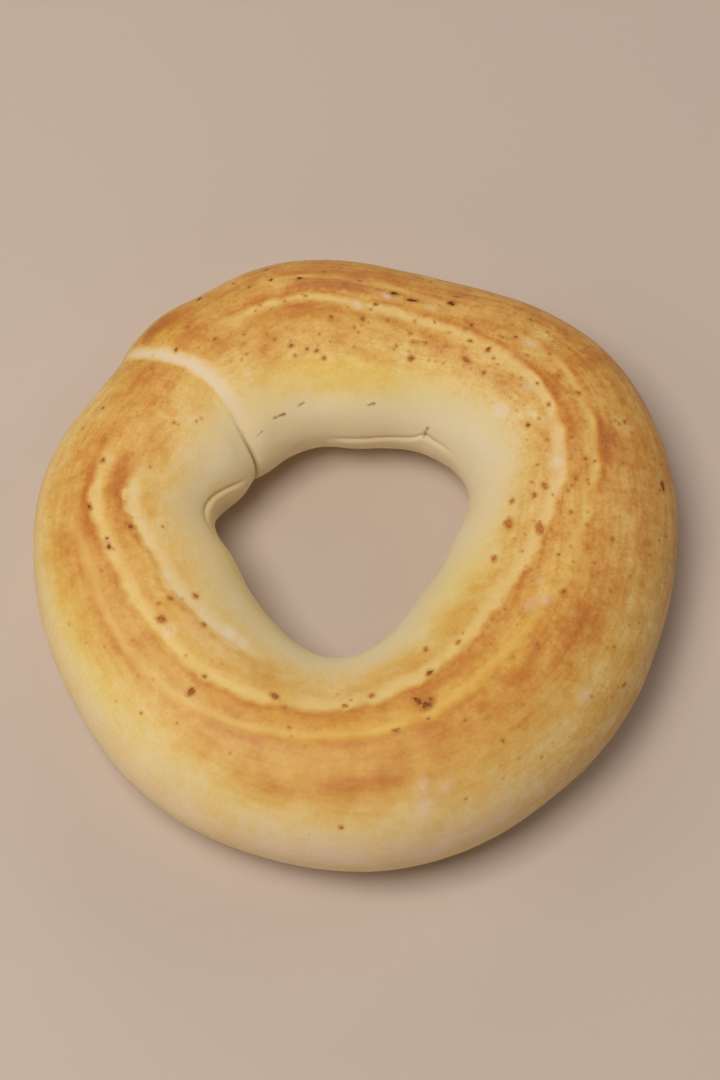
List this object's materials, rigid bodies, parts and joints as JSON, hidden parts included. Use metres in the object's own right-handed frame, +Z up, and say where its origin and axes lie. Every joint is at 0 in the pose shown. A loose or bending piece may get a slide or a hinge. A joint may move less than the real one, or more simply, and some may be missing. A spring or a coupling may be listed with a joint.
{
  "type": "ring-shaped cheese bread roll",
  "caption": "Ring-shaped cheese bread roll: a smooth dough rope bent round a hole, its ends pressed together at one seam, golden on top and pale in the hole.",
  "frame": {"origin": "middle of the roll's box seen from above, on the flat underside", "axes": "+Z up through the hole, +Y away from the viewer, +X to the viewer's right; the seam crosses the rope at the far left"},
  "size_m": [0.1148, 0.1162, 0.0291],
  "materials": {
    "baked_crust": "smooth baked crust with a soft sheen, golden brown on top and cream in the hole and at the foot, with dark bits of toasted cheese"
  },
  "bodies": {
    "root": {"cheese_roll": "baked_crust"}
  },
  "joints": []
}
